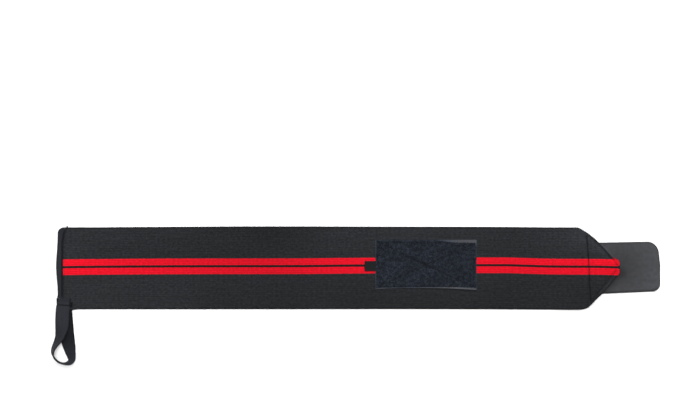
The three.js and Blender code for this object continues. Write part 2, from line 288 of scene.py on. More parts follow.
def tape_finish():
    """The third cloth coordinate is 1 on the tape's face and -1 on its back, which is painted darker as
    shade.
    """
    f = Finish("woven_tape", specular_ior_level=0.08, sheen_weight=0.02, sheen_roughness=0.45)
    along, across, face = place = f.cloth()
    groove = f.wave(across, TAPE_RIB)
    twill = f.wave(f.line(groove, 0.5, f.math("DIVIDE", along, TAPE_PICK)))
    yarn = f.noise(place, 4.0, TAPE_RIB / 2)
    streaks = f.noise(place, 30.0, TAPE_RIB)
    back = f.step(face, -0.5, 0.5, TAPE_BACK_TONE, 1.0)
    # Painted shade in the grooves between the ribs and painted light on their crowns; the twill is the
    # weave's own slant
    lines = f.product(f.sway(groove, -0.25), f.sway(twill, 0.2))
    tone = f.product(f.sway(yarn, 0.5), f.sway(streaks, 0.6), lines, back, f.tone())
    f.bump(f.line(twill, 0.7, f.product(yarn, 0.4)), 0.1, 0.8)
    return f.done(f.shade(TAPE_YARN, tone), f.line(yarn, 0.2, 0.66))


def pile_finish():
    """The third cloth coordinate is 1 on the bare selvedge and at most 0.5, at random, on the fibres."""
    f = Finish("loop_pile", specular_ior_level=0.08, sheen_weight=0.04, sheen_roughness=0.4)
    along, _, kind = place = f.cloth()
    fine, coarse = f.noise(place, 1.6, 1.6, 3.0), f.noise(place, 3.6, 3.6, 3.0)
    curls = f.line(fine, 0.55, f.product(coarse, 0.45))
    crushed = f.noise(place, 22.0, 14.0, 1.0)
    clumps = f.step(f.line(kind, 0.3, curls), 0.42, 0.74)
    pile = f.mix(clumps, PILE_DEEP, PILE_LIGHT)
    weave = f.wave(along, SELVEDGE_PICK)
    bare = f.step(kind, BARE_KIND, 1.0)
    bound = f.shade(SELVEDGE, f.product(f.sway(weave, 0.35), f.sway(curls, 1.5)))
    f.bump(f.math("ADD", weave, curls), 0.1, 0.7)
    colour = f.shade(f.mix(bare, pile, bound), f.product(f.sway(crushed, 0.9), f.tone()))
    return f.done(colour, f.line(curls, 0.2, 0.72))


def off_fold(f, place, fold):
    """From 1 along a fold to 0 at its reach beyond it, on one side of the tab."""
    along, across, _ = place
    slope_x, slope_y = fold["normal"]
    beyond = f.line(along, slope_x, f.product(across, slope_y))
    start = float(np.dot(fold["normal"], fold["at"]))
    return f.product(f.step(beyond, start, start + fold["reach"], 1.0, 0.0), f.step(across, *fold["side"]))


def hook_finish():
    """The third cloth coordinate is 1 on the rim, 0 inside it and -1 on the reverse."""
    f = Finish("hook_tape", specular_ior_level=0.14, sheen_weight=0.02, sheen_roughness=0.4)
    along, across, rim = place = f.cloth()
    plain = f.line(f.wave(across, HOOK_YARN), 0.5, f.product(f.wave(along, HOOK_YARN), 0.5))
    haze = f.noise(place, 14.0, 10.0, 3.0)
    flecks = f.noise(place, 4.6, 3.8, 3.0)
    # Painted shade near the band's tip and painted light towards the tab's free end
    paler = f.step(f.distance(f.math("SUBTRACT", along, BAND_TIP), across), *HOOK_FADE)
    # The point throws shade below its lower fold and by its tip, and light above its upper fold
    shade = 1.0
    for fold in (LOWER_FOLD, UPPER_FOLD):
        shade = f.line(off_fold(f, place, fold), fold["by"], shade)
    off_tip = [f.math("SUBTRACT", at, TIP_SHADE[axis]) for at, axis in ((along, "x"), (across, "y"))]
    by_tip = f.step(f.distance(*off_tip), 0.0, TIP_SHADE["reach"], 1.0, 0.0)
    shade = f.product(shade, f.line(by_tip, -TIP_SHADE["by"], 1.0))
    weave = f.product(f.sway(haze, 0.5), f.sway(flecks, 0.7), f.sway(plain, 0.2))
    outer = f.step(rim, -0.6, -0.2)
    lit = f.math("SUBTRACT", f.product(paler, shade), 1.0)
    tone = f.product(weave, f.line(lit, outer, 1.0), f.tone())
    f.bump(plain, 0.06, 0.7)
    return f.done(f.shade(f.mix(rim, HOOK_GREY, HOOK_RIM), tone), f.line(haze, 0.2, 0.5))


def tag_finish():
    f = Finish("satin_ribbon", specular_ior_level=0.06)
    along, across, _ = place = f.cloth()
    satin = f.wave(f.line(along, 0.6, f.math("DIVIDE", across, SATIN_YARN)))
    haze = f.noise(place, 2.0, 2.0)
    colour = f.shade(TAG_BLACK, f.product(f.sway(haze, 0.7), f.sway(satin, 0.3), f.tone()))
    f.bump(satin, 0.05, 0.6)
    return f.done(colour, f.line(haze, 0.2, 0.5))


def thread_finish():
    """The first cloth coordinate runs along a stitch, the second is its own random tone."""
    f = Finish("sewing_thread", specular_ior_level=0.08)
    along, own, around = f.cloth()
    twist = f.wave(f.math("ADD", f.math("DIVIDE", along, THREAD_TWIST), around))
    colour = f.shade(THREAD_BLACK, f.product(f.sway(own, 0.8), f.sway(twist, 0.5), f.tone()))
    f.bump(twist, 0.06, 0.8)
    return f.done(colour, f.line(twist, -0.1, 0.6))


def floor_finish():
    f = Finish("pale_floor", specular_ior_level=0.1)
    place = f.add("TexCoord", {}, "Object")
    haze = f.add("TexNoise", {"Vector": place, "Scale": 9.0, "Detail": 2.0})
    return f.done(f.mix(haze, FLOOR_DARK, FLOOR_PALE), f.step(haze, 0.2, 0.8, 0.85, 0.95))


WEBBING = webbing_finish()
TAPE = tape_finish()
PILE = pile_finish()
HOOK = hook_finish()
RIBBON = tag_finish()
THREAD = thread_finish()


# Meshes
WELD = 1e-4
SHARP = math.radians(55)
SKEW = (0.36, 0.48, 0.8)  # a direction that no tube runs along


def weave(along, across, kind, tone=1.0):
    """Cloth coordinates and tone for an array of points."""
    return np.stack(np.broadcast_arrays(along, across, kind, tone), axis=-1).astype(float)


def loft(stations, count):
    """Faces of a closed solid through rings of equal length."""
    index = np.arange(stations * count).reshape(stations, count)
    ahead = np.roll(index, -1, axis=1)
    sides = np.stack([index[:-1], ahead[:-1], ahead[1:], index[1:]], axis=-1)
    return sides.reshape(-1, 4), [index[0, ::-1], index[-1]]


def solid(rings, cloth):
    """A loft, with points that coincide made one."""
    sides, ends = loft(*rings.shape[:2])
    points = rings.reshape(-1, 3)
    keys = np.round(points / WELD).astype(np.int64)
    _, first, same = np.unique(keys, axis=0, return_index=True, return_inverse=True)
    same = same.ravel()
    faces = []
    for face in [*same[sides].tolist(), *(same[end].tolist() for end in ends)]:
        corners = [a for a, b in zip(face, face[1:] + face[:1]) if a != b]
        if len(set(corners)) > 2:
            faces.append(corners)
    return points[first], faces, cloth.reshape(-1, 4)[first]


def tubes(paths, radii, sides):
    """Many closed tubes at once, each along its own path."""
    count, rings = paths.shape[:2]
    ahead = unit(np.gradient(paths, axis=1))
    aside = unit(np.cross(ahead, SKEW))
    third = np.cross(ahead, aside)
    angle = TAU * np.arange(sides) / sides
    around = np.cos(angle)[:, None] * aside[:, :, None] + np.sin(angle)[:, None] * third[:, :, None]
    points = paths[:, :, None] + np.asarray(radii)[:, None, None] * around
    walls, ends = loft(rings, sides)
    start = (np.arange(count) * rings * sides)[:, None, None]
    faces = (walls + start).reshape(-1, 4).tolist()
    faces += (np.stack(ends) + start).reshape(-1, sides).tolist()
    cloth = weave(lengths(paths)[:, :, None], random.random(count)[:, None, None], angle / TAU)
    return points.reshape(-1, 3), faces, cloth.reshape(-1, 4)


def together(*shapes):
    points, faces, cloth = zip(*shapes)
    starts = np.cumsum([0, *map(len, points)]).tolist()
    moved = [[start + corner for corner in face] for start, part in zip(starts, faces) for face in part]
    return np.concatenate(points), moved, np.concatenate(cloth)


def placed(name, data):
    made = bpy.data.objects.new(name, data)
    bpy.context.scene.collection.objects.link(made)
    return made


def piece(name, shape, material, slot, *nodes):
    points, faces, cloth = shape
    mesh = bpy.data.meshes.new(name)
    mesh.from_pydata((points * MM).tolist(), [], faces)
    place = mesh.attributes.new("cloth", "FLOAT_VECTOR", "POINT")
    place.data.foreach_set("vector", cloth[:, :3].astype(np.float32).ravel())
    tone = mesh.attributes.new("tone", "FLOAT", "POINT")
    tone.data.foreach_set("value", cloth[:, 3].astype(np.float32))
    sculpt = bmesh.new()
    sculpt.from_mesh(mesh)
    bmesh.ops.recalc_face_normals(sculpt, faces=sculpt.faces)
    sculpt.to_mesh(mesh)
    sculpt.free()
    mesh.polygons.foreach_set("use_smooth", np.ones(len(mesh.polygons), bool))
    mesh.set_sharp_from_angle(angle=SHARP)
    mesh.materials.append(material)
    made = placed(name, mesh)
    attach(made, "root")
    if nodes:
        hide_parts(*nodes)
    return made


RIM_STEPS = 5
RIM_TONE = 0.75  # painted shade on a slab's rounded edges
RIM_ANGLES = np.linspace(-math.pi / 2, math.pi / 2, RIM_STEPS + 2)[1:-1]


def ring_of(first, rim, second, other_rim):
    """Closed rings along one face, round an edge and back along the other."""
    return np.concatenate([first, rim, second[:, ::-1], other_rim], axis=1)


def slab(x, y, top, bottom, low_rim, high_rim, cloth_top, cloth_bottom, tones=(RIM_TONE, RIM_TONE), run=1.0):
    """Rings across a flat piece with rounded long edges, a row of columns for each station.

    Tones are painted shade and light on the low and high edges. Run is 1 where the weave goes on round them."""

    def rim(column, side, radius, tone):
        angles = side * RIM_ANGLES
        upper, lower = top[:, [column]], bottom[:, [column]]
        out = y[:, [column]] + side * radius[:, None] * np.cos(angles)
        height = (upper + lower) / 2 + (upper - lower) / 2 * np.sin(angles)
        cloth = np.repeat(cloth_top[:, [column]], RIM_STEPS, axis=1)
        cloth[..., 1] += side * run * radius[:, None] * (math.pi / 2 - angles)
        cloth[..., 3] *= tone
        return out, height, cloth

    high, low = rim(-1, 1, high_rim, tones[1]), rim(0, -1, low_rim, tones[0])
    sides = zip((y, bottom, cloth_bottom), high, (y, top, cloth_top), low)
    across, height, cloth = (ring_of(*parts) for parts in sides)
    return np.stack([np.broadcast_to(x[:, None], across.shape), across, height], axis=-1), cloth


# The band's edges, from the bound corner to the blunt tip
BAND_EDGES = table(
    "x upper lower",
    (-309.9, 36.4, -41.7), (-308.4, 39.7, -42.2), (-305.8, 41.4, -42.3), (-302.0, 41.8, -42.3),
    (-299.0, 41.8, -44.4), (-297.4, 41.8, -45.2), (-296.3, 41.8, -44.4), (-295.2, 41.8, -43.1),
    (-293.8, 41.8, -42.4), (-292.2, 41.8, -42.3), (-216.0, 42.2, -42.2), (-91.0, 42.8, -42.2),
    (43.0, 42.5, -42.1), (137.0, 42.3, -42.3), (215.0, 41.7, -42.7), (226.0, 41.8, -42.7),
    (230.2, 40.5, -42.6), (234.4, 38.1, -41.9), (238.5, 35.5, -40.2), (242.7, 32.2, -36.3),
    (246.8, 28.7, -32.0), (253.0, 22.4, -26.0), (259.3, 15.5, -19.2), (264.4, 10.7, -13.0),
    (267.9, 9.5, -8.9), (270.0, 8.3, -7.0), (BAND_TIP, 5.9, -4.7),
)
BAND_START = BAND_EDGES["x"][0]
HALF_WIDTH = 42.3
EDGE_YARN = 0.5  # how far the long edges' yarn stands out
RIBBED_HALF = 22 * RIB  # half the width with points at each quarter rib

# How far the rippled edges lift
EDGE_RIPPLES = table(
    "x upper lower",
    (-280, 0, 0), (-236, 0.9, 0), (-186, 0, 0.8), (-138, 0.8, 0.2), (-96, 0, 0), (126, 0, 0),
    (158, 0.5, 0.7), (190, 0, 0),
)

# The middle of the two stripes along the band
STRIPE_LINE = table(
    "x y",
    (-305, 1.0), (-278, 1.3), (-185, 1.9), (-60, 2.1), (-3, 2.65), (90, 3.0), (150, 3.05), (178, 2.35),
    (199, 1.75), (250, 1.5), (266, 0.95),
)

# Layers and heights
SLIT = 0.25
TAPE_THICK = 1.0
END_LIFT = 1.3
TAB_THICK = 2.0
TAB_CLEAR = 0.08  # to the band above it
FLAP_BASE = 2.3
POINT_LIFT = FLAP_BASE + BAND_THICK + SLIT
UPPER_FLAP = {"start": 228.5, "inner": 9.6, "side": 1}
LOWER_FLAP = {"start": 233.5, "inner": 8.6, "side": -1}
FLAP_STEPS = (0.8, 0.5)  # how soon a folded corner is thick, along and across
FLAP_ROUNDING = 3  # and how soon its edge is rounded
TAB_BASE = 237
TIP_DROP = 1.5  # of the sewn tip to the tab

# Stretches of the band, from where a change begins to where it ends
BOUND_END = (-300, -280)  # it comes down
POINT_RISE = (190, 226)
TIP_PULL = (258, 270)
TIP_OPENS = (BAND_TIP - 2.2, BAND_TIP - 0.4)  # the line between the stripes opens
TIP_ROUNDED = BAND_TIP - 1
FOLDS_END = (264, 268)
PLAIN_EDGES = (255, 265)  # no yarn stands out
PLAIN_RIMS = (258, 264)  # no weave goes on round the edges
FOLD_SHOWN = (246, 250, 262, 267)  # the folds lie over the tab
LOOSE_FOLD = (243, 252, 259, 269)  # the lower fold is rounded wider
DARK_FOLD = (234, 240, 250, 256)  # and takes painted shade along its outer edge

# Seams across the point and along its two folds
CROSS_SEAM = [(236.8, 33.0), (238.6, 10.1), (239.6, -12.1), (240.8, -34.0)]
UPPER_SEAM = [(241.3, 31.7), (247.8, 26.2), (254.1, 19.7), (260.2, 13.0), (264.4, 9.2)]
LOWER_SEAM = [(243.0, -32.8), (246.0, -28.6), (252.0, -20.6), (258.0, -12.6), (261.2, -8.4)]
TIP_CREASES = [[(264.4, 9.2), (268.6, 3.2)], [(261.2, -8.4), (267.6, -2.0)]]
POINT_SEAMS = [CROSS_SEAM, UPPER_SEAM, LOWER_SEAM]
SEAM_DEPTH = 0.5
SEAM_WIDTH = 0.9
SLUMP = 1.8  # of the loose lower fold

# Painted light and shade on the band
# painted shade in the cross seam, along the folds' seams, in the tip's creases and along the long edges
SEAM_TONE = 0.45
FOLD_TONE = 0.18
CREASE_TONE = 0.4
EDGE_TONE = 0.3
EDGE_REACH = (0.4, 2.4)
# painted shade on the lower fold's outer edge, painted highlights on the upper fold's rim and the lower
# fold's ridge
FOLD_SHADOW = 0.65
FOLD_RIM_GLOW = 0.2
FOLD_GLOW = {"half": 0.9, "by": 0.5}
SEAM_HIGHLIGHT = {"inside": 2.5, "half": 1.2, "by": 0.26}  # painted highlight, inside the upper fold's seam
# painted shade on the band beside the binding
BESIDE_BINDING = (0.35, -0.35, -305.4, -303.6)
OFF_STRIPES = (5.5, 9)
# painted shadow on the band below the patch
BELOW_PATCH = {"x": (40, 100, 122.5, 124.5), "below": 0.9, "half": 1.0, "by": 0.4}
# painted shade along a stretch of the band, painted light at its bound end and across it, painted highlights
# by the corner and the point
DARK_STRETCH = {"x": -100, "half": 65, "by": 0.15}
PALE_START = (1.12, -0.12, -310, -200)
PALE_CORNER = {"x": 229, "y": 33, "half": 10, "by": 0.25}
PALE_POINT = {"x": 250, "y": 18, "half": 11, "by": 0.16}
LIT_SIDE = (0.03, 0.18, -60, 60)  # towards +Y

# The patch, whose lower edge is drawn in between unequal corners
PATCH = {"left": 18.0, "right": 122.8, "low": -21.6, "high": 29.6, "hollow": 1.6, "slant": 1.1}


def patch_low(x):
    share = np.clip((x - PATCH["left"]) / (PATCH["right"] - PATCH["left"]), 0, 1)
    return PATCH["low"] - PATCH["slant"] * share + 4 * PATCH["hollow"] * share * (1 - share)


def lift(x, y):
    """Height of the reverse face, without its ribs."""
    height = END_LIFT * (1 - ease(x, *BOUND_END)) + POINT_LIFT * ease(x, *POINT_RISE)
    for edge, reach in (("upper", np.maximum(y, 0)), ("lower", np.minimum(y, 0))):
        height = height + follow(EDGE_RIPPLES, edge, x) * (reach / HALF_WIDTH) ** 2
    return height - TIP_DROP * ease(x, *TIP_PULL)


def rib_line(x, y):
    """How far from the stripes' middle the rib through a point lies in the straight cloth."""
    drift = follow(STRIPE_LINE, "y", x)
    line = y
    for _ in range(5):
        line = y - drift * (1 - (line / HALF_WIDTH) ** 2)
    return line


def groove(line, pitch, depth):
    return depth * (0.5 - 0.5 * np.cos(TAU * line / pitch)) ** 2


def pressed(x, y, seams):
    """From 0 off the seams to 1 in them."""
    return np.minimum(sum(bell(distance_to(seam, x, y), SEAM_WIDTH) for seam in seams), 1)


def band_top(x, y):
    """The outer face, with its grooves and the dents of its seams."""
    x, y = np.broadcast_arrays(x, y)
    height = lift(x, y) + BAND_THICK - groove(rib_line(x, y), RIB, RIB_DEPTH)
    return height - SEAM_DEPTH * pressed(x, y, POINT_SEAMS)


def near(place, x, y=None):
    """A soft spot, or a soft stretch along the band."""
    far = x - place["x"] if y is None else np.hypot(x - place["x"], y - place["y"])
    return place["by"] * bell(far, place["half"])


def band_tone(x, y, low, high, ridge):
    """How light the outer face is, with painted light and shade."""
    over_tab = between(x, *FOLD_SHOWN)
    # Painted shade along the long edges, where they turn away from the light
    edge = EDGE_TONE * (1 - ease(np.minimum(high - y, y - low), *EDGE_REACH)) * (1 - over_tab)
    # Painted shade in the seams' dents and the tip's creases
    seam = SEAM_TONE * pressed(x, y, [CROSS_SEAM])
    crease = FOLD_TONE * pressed(x, y, [UPPER_SEAM, LOWER_SEAM]) + CREASE_TONE * pressed(x, y, TIP_CREASES)
    # Painted shade beside the binding, off the stripes
    beside = rising(x, *BESIDE_BINDING) * ease(abs(y - STRIPE_LINE["y"][0]), *OFF_STRIPES)
    # Painted shadow on the band below the patch
    under = bell(y - patch_low(x) + BELOW_PATCH["below"], BELOW_PATCH["half"])
    below = BELOW_PATCH["by"] * under * between(x, *BELOW_PATCH["x"])
    # A painted highlight inside the upper fold's seam
    seam_highlight = SEAM_HIGHLIGHT["by"] * bell(distance_to(UPPER_SEAM, x, y) - SEAM_HIGHLIGHT["inside"], SEAM_HIGHLIGHT["half"])
    # Painted light and shade along and across the band, with painted highlights by the upper corner and on
    # the point
    broad = rising(x, *PALE_START) - near(DARK_STRETCH, x) + rising(x, *LIT_SIDE) * y / HALF_WIDTH
    broad = broad + near(PALE_CORNER, x, y) + near(PALE_POINT, x, y) + seam_highlight
    # A painted highlight along the lower fold's ridge
    fold = FOLD_GLOW["by"] * over_tab * bell(y - ridge, FOLD_GLOW["half"])
    return broad * (1 - edge) * (1 - seam) * (1 - crease) * (1 - beside) * (1 - below) + fold


def in_flaps(x, y):
    """Up to 1 where a folded corner lies below the reverse face."""
    found = 0
    for flap in (UPPER_FLAP, LOWER_FLAP):
        along = ease(x, flap["start"], flap["start"] + FLAP_STEPS[0])
        across = ease(flap["side"] * y, flap["inner"], flap["inner"] + FLAP_STEPS[1])
        found = np.maximum(found, along * across)
    return found


def band_bottom(x, y):
    """The reverse face, with the folded corners below it."""
    height = lift(x, y) + groove(rib_line(x, y), RIB, RIB_DEPTH) - in_flaps(x, y) * (BAND_THICK + SLIT)
    return np.maximum(height, np.where(x > TAB_BASE - 1, TAB_THICK + TAB_CLEAR, 0))


def band_shape():
    x = np.concatenate(
        [
            np.arange(BAND_START, BOUND_END[0], 1.1),
            np.arange(BOUND_END[0], POINT_RISE[0], 5.0),
            np.arange(*POINT_RISE, 2.4),
            np.arange(POINT_RISE[1], TIP_ROUNDED, 0.6),
            TIP_ROUNDED + np.sin(np.linspace(0, math.pi / 2, 7)),
        ]
    )
    ribs = np.arange(-RIBBED_HALF, RIBBED_HALF + 0.1, RIB / 4)
    lines = np.concatenate([[-2 * HALF_WIDTH], ribs, [2 * HALF_WIDTH]])[None]
    station = x[:, None]

    def edge_radius(flap):
        double = between(x, flap["start"], flap["start"] + FLAP_ROUNDING, *FOLDS_END)
        return (BAND_THICK + double * (BAND_THICK + SLIT)) / 2

    high_rim = edge_radius(UPPER_FLAP)
    low_rim = edge_radius(LOWER_FLAP) + SLUMP * between(x, *LOOSE_FOLD)
    yarn = EDGE_YARN * (1 - ease(station, *PLAIN_EDGES))
    low_edge = follow(BAND_EDGES, "lower", station) - yarn
    high_edge = follow(BAND_EDGES, "upper", station) + yarn
    ridge = low_edge + low_rim[:, None]
    drift = follow(STRIPE_LINE, "y", station)
    spread = lines + drift * (1 - np.minimum((lines / HALF_WIDTH) ** 2, 1))
    y = np.clip(spread, ridge, high_edge - high_rim[:, None])
    line = rib_line(station, y) * (1 - 0.4 * ease(station, *TIP_OPENS))
    top, bottom = band_top(station, y), band_bottom(station, y)
    middle = (top + bottom) / 2
    rounded = np.sqrt(np.clip(1 - np.maximum(station - TIP_ROUNDED, 0) ** 2, 0.02, 1))
    top, bottom = (middle + (face - middle) * rounded for face in (top, bottom))
    face_up = weave(station, line, 1, band_tone(station, y, low_edge, high_edge, ridge))
    # The folded corners show their webbing turned across, clear of its stripes
    turned = weave(y, np.sign(y) * (station - TAB_BASE + 5 * STRIPE_TO), -1)
    face_down = np.where(in_flaps(station, y)[..., None] > 0.5, turned, weave(station, line, -1))
    # Painted light on the upper fold's rim and painted shade on the lower fold's outer edge
    high_tone = RIM_TONE + FOLD_RIM_GLOW * between(station, *FOLD_SHOWN)
    low_tone = RIM_TONE - FOLD_SHADOW * between(station, *DARK_FOLD) * np.cos(RIM_ANGLES)
    run = 1 - ease(station, *PLAIN_RIMS)
    faces = (x, y, top, bottom, low_rim, high_rim, face_up, face_down)
    return solid(*slab(*faces, (low_tone, high_tone), run))


band = piece("band_cloth", band_shape(), WEBBING, "webbing", "band")


# Tape folded in half, with its fold on the -X side
LAP_STEPS = 21
TURN_STEPS = 13


def folded_tape(y, fold, end, middle, outside, thick, rib_depth, relief=None):
    half = thick / 2
    radius = outside - half
    turn = np.linspace(math.pi / 2, 3 * math.pi / 2, TURN_STEPS)
    lap = np.linspace(0, 1, LAP_STEPS, endpoint=False)
    flat = np.ones(LAP_STEPS)
    out_z = np.concatenate([flat, np.sin(turn), -flat])
    out = np.stack([np.concatenate([0 * flat, np.cos(turn), 0 * flat]), out_z], axis=-1)
    bend, end = (fold + outside)[:, None], end[:, None]
    top_x = end + (bend - end) * lap
    path_x = np.concatenate([top_x, bend + radius * np.cos(turn), top_x[:, ::-1]], axis=1)
    path = np.stack(np.broadcast_arrays(path_x, middle + radius * out_z), axis=-1)
    across = lengths(path)
    across -= across.mean(axis=1, keepdims=True)
    proud = half - groove(across, TAPE_RIB, rib_depth)
    tone = np.ones(path_x.shape)
    if relief is not None:
        rise, shown = relief(path_x, y[:, None])
        proud = proud + rise * (out_z > 0.9)
        tone = np.where(out_z > 0, shown, 1)
    rim = half * np.stack([np.cos(RIM_ANGLES), np.sin(RIM_ANGLES)], axis=-1)
    ring = ring_of(path + proud[..., None] * out, path[:, -1:] + rim, path - half * out, path[:, :1] + rim)
    rings = np.stack([ring[..., 0], np.broadcast_to(y[:, None], ring.shape[:2]), ring[..., 1]], axis=-1)

    def closed(values, edge=1.0):
        low, high = (edge * np.repeat(values[:, [i]], RIM_STEPS, axis=1) for i in (-1, 0))
        return ring_of(values, low, values, high)

    return solid(rings, weave(rings[..., 1], closed(across), 1, closed(tone, RIM_TONE)))


BINDING_ROWS = table(
    "y outer inner",
    (-30.7, -311.9, -306.0), (-26.8, -311.3, -306.2), (-20.6, -311.5, -306.3), (-8.3, -312.5, -306.3),
    (2.0, -313.0, -306.3), (10.3, -312.7, -306.3), (18.5, -312.1, -306.3), (28.9, -311.5, -305.8),
    (34.0, -311.4, -304.4), (37.2, -311.3, -303.3), (39.7, -310.2, -302.3), (41.3, -308.2, -301.6),
    (42.3, -306.6, -301.4),
)
BINDING_MIDDLE = END_LIFT + BAND_THICK / 2
BINDING_OUTSIDE = 2.2
BINDING_THICK = 1.2
BINDING_DENT = 0.4
BINDING_TONE = (0.9, -0.15, -308.2, -306.4)  # painted shade, darker towards its inner edge
TURNED_AT = (-305.0, 33.2)
TURNED_SLOPE = 0.9
TURNED_CORNER = (0, 0.35, -0.8, 0.8)
BINDING_SEAM = [(-306.9, -29.2), (-307.0, 10.1), (-306.7, 27.2), (-305.3, 33.8), (-303.9, 39.0)]


def binding_relief(x, y):
    """Rise and tone, with the end turned in at the upper corner and the seam. The tone is painted shade in
    the seam and towards the inner edge.
    """
    beyond = y - TURNED_AT[1] + TURNED_SLOPE * (x - TURNED_AT[0])
    press = pressed(x, y, [BINDING_SEAM])
    rise = rising(beyond, *TURNED_CORNER) - BINDING_DENT * press
    return rise, (1 - SEAM_TONE * press) * rising(x, *BINDING_TONE)


def binding_shape():
    y = np.linspace(BINDING_ROWS["y"][0], BINDING_ROWS["y"][-1], 110)
    fold = follow(BINDING_ROWS, "outer", y, "y")
    end = follow(BINDING_ROWS, "inner", y, "y")
    sizes = (BINDING_MIDDLE, BINDING_OUTSIDE, BINDING_THICK, TAPE_RIB_DEPTH)
    return folded_tape(y, fold, end, *sizes, binding_relief)


binding = piece("binding_tape", binding_shape(), TAPE, "tape", "end_binding")

TAG = {"left": 6.6, "right": 18.8, "width": 10.5, "y": 2.1, "thick": 0.45, "outside": 0.55, "bow": 0.35}
TAG_MIDDLE = BAND_THICK + 0.65


def tag_shape():
    share = np.linspace(-1, 1, 15)
    # The free fold bows a little between its corners
    fold = TAG["left"] + TAG["bow"] * share**2
    end = np.full(len(share), TAG["right"])
    y = TAG["y"] + share * TAG["width"] / 2
    return folded_tape(y, fold, end, TAG_MIDDLE, TAG["outside"], TAG["thick"], 0.0)


tag = piece("tag_ribbon", tag_shape(), RIBBON, "tag", "label_tag")

# The thumb loop's middle line, from the outer face to the reverse. Roll is the tape's turn in degrees:
# 0 with the outer face up, 90 on edge, 180 turned over.
OUTER_TAPE_Z = 3.7
REVERSE_TAPE_Z = 0.6
LOOP_ROWS = table(
    "x y z roll",
    (-305.2, -30.9, OUTER_TAPE_Z, 0), (-305.2, -37.2, OUTER_TAPE_Z, 0),
    (-306.1, -44.8, OUTER_TAPE_Z + 0.2, 0), (-306.4, -53.1, 4.4, 2), (-306.7, -60.3, 4.9, 14),
    (-307.5, -65.4, 5.4, 30), (-308.8, -70.6, 5.9, 44), (-310.7, -75.0, 6.35, 54),
    (-312.2, -77.8, 6.6, 60), (-314.2, -81.1, 6.9, 66), (-315.8, -85.0, 7.05, 72),
    (-315.9, -88.4, 7.15, 77), (-314.9, -91.6, 7.2, 84), (-311.8, -95.6, 7.2, 86.5),
    (-308.6, -97.7, 7.2, 88), (-305.0, -98.5, 7.2, 91), (-301.4, -98.4, 7.15, 100),
    (-297.8, -97.0, 6.9, 114), (-296.3, -94.2, 6.5, 125), (-296.7, -90.2, 5.75, 134),
    (-297.8, -86.1, 4.6, 146), (-299.0, -81.5, 3.2, 159), (-300.2, -77.4, 1.9, 170),
    (-301.1, -71.8, 1.3, 175), (-302.0, -62.5, 1.0, 177), (-302.9, -53.2, 0.75, 179),
    (-303.4, -46.0, REVERSE_TAPE_Z, 180), (-304.0, -42.3, REVERSE_TAPE_Z, 180),
    (-304.5, -32.0, REVERSE_TAPE_Z, 180),
)
TAPE_WIDTH = 14.4
LOOP_STATIONS = 210
TURNED_IN = 4.8  # length of tape turned under at each sewn end
TURNED_RISE = 0.5
SEWN_AT = 7.4  # row of stitches, from the tape's end
SEWN_DENT = 0.3
SEWN_PINCH = 0.06  # share of the tape's width
BEND_SWELL = (1, 0.35, 82, 88)  # the far bend is slack and a little thicker
LIT_BEND = (RIM_TONE, 0.8, 92, 97)  # and its lower edge catches light
BACK_LEG = ((1.1, -1.5, -96, -70), (0, -0.2, -66, -54))  # painted shade on the leg that comes back as far as the legs cross, painted light towards the far bend


def loop_shape():
    knots = np.stack(list(LOOP_ROWS.values()), axis=1)
    chord = np.sqrt(np.linalg.norm(np.diff(knots[:, :3], axis=0), axis=1))
    t = np.concatenate([[0], np.cumsum(chord)])
    at = np.linspace(0, t[-1], LOOP_STATIONS)
    line = np.stack([curve_through(t, k, np.gradient(k, t), at) for k in knots.T], axis=1)
    middle, roll = line[:, :3], np.radians(line[:, 3:])
    along = lengths(middle)
    ahead = unit(np.gradient(middle, axis=0))
    aside = unit(np.cross((0, 0, 1), ahead))
    rise = np.cross(ahead, aside)
    wide = np.cos(roll) * aside + np.sin(roll) * rise
    thick = np.cos(roll) * rise - np.sin(roll) * aside
    far = middle[:, 1:2]
    flat = TAPE_WIDTH / 2 - TAPE_THICK / 2
    w = np.linspace(-flat, flat, 4 * 9 + 1)
    face = TAPE_THICK / 2 - groove(w, TAPE_RIB, TAPE_RIB_DEPTH)
    face = face * rising(-far, *BEND_SWELL)
    inward = np.minimum(along, along[-1] - along)[:, None]
    ends = 1 - ease(inward, TURNED_IN - 0.5, TURNED_IN + 0.5)
    sewn = bell(inward - SEWN_AT, 0.8)
    top = face + TURNED_RISE * ends - SEWN_DENT * sewn
    radius = np.full(LOOP_STATIONS, TAPE_THICK / 2)
    w = w * (1 - SEWN_PINCH * sewn)
    # Painted shade along the tape's edges and in its sewn dent; the turned-in ends darker, lighter where
    # they stop
    edge = EDGE_TONE * ease(abs(w), flat - 1.0, flat)
    ridge = 0.25 * bell(inward - TURNED_IN, 0.9)
    tone = (1 - edge) * (1 - SEAM_TONE * sewn) * (1 - 0.2 * ends + ridge)
    # Painted shade and light on the leg that comes back
    coming_back = ease(roll, math.pi / 2, 2)
    tone = tone * (1 + coming_back * sum(rising(far, *part) for part in BACK_LEG))
    tones = (RIM_TONE, rising(-far, *LIT_BEND))
    up, down = (weave(along[:, None], w, side, tone) for side in (1, -1))
    local, cloth = slab(along, w, top, -face, radius, radius, up, down, tones)
    rings = middle[:, None] + wide[:, None] * local[..., 1:2] + thick[:, None] * local[..., 2:3]
    return solid(rings, cloth)


loop = piece("loop_tape", loop_shape(), TAPE, "tape", "thumb_loop")

